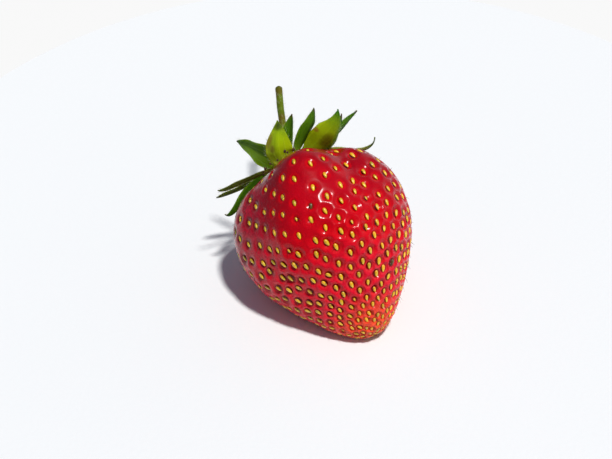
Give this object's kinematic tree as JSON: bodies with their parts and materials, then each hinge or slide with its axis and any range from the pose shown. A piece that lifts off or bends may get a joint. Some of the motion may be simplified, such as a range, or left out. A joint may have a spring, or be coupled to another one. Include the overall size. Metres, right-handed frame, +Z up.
{
  "type": "strawberry",
  "caption": "Ripe red strawberry lying on its side, with green calyx leaves and a short cut stem; food prop for tables, bowls and plates.",
  "frame": {"origin": "middle of the small flat spot under the fruit, on the surface it rests on", "axes": "+Z up; +Y level, from the fruit's tip towards its calyx and stem; +X to the right when looking from the tip to the calyx"},
  "size_m": [0.039, 0.0636, 0.0381],
  "materials": {
    "fruit_skin": "ripe wet-looking berry skin; gloss_plastic stands in for fruit flesh",
    "collar_green": "satin plant tissue; matte_plastic stands in for leaf tissue",
    "stem_green": "satin plant tissue; matte_plastic stands in for stem tissue",
    "leaf_green": "matte leaf; matte_plastic stands in for leaf tissue"
  },
  "bodies": {
    "root": {"fruit": "fruit_skin", "calyx_collar": "collar_green", "stem": "stem_green", "sepal_top_left": "leaf_green", "sepal_top_right": "leaf_green", "sepal_right": "leaf_green", "sepal_left": "leaf_green", "sepal_low_left": "leaf_green", "sepal_under_left": "leaf_green", "sepal_under_right": "leaf_green", "sepal_low_right": "leaf_green", "bract_top": "leaf_green", "bract_top_right": "leaf_green", "bract_behind": "leaf_green", "bract_right": "leaf_green", "bract_left": "leaf_green", "bract_low_left": "leaf_green", "bract_under": "leaf_green", "bract_low_right": "leaf_green"}
  },
  "joints": []
}
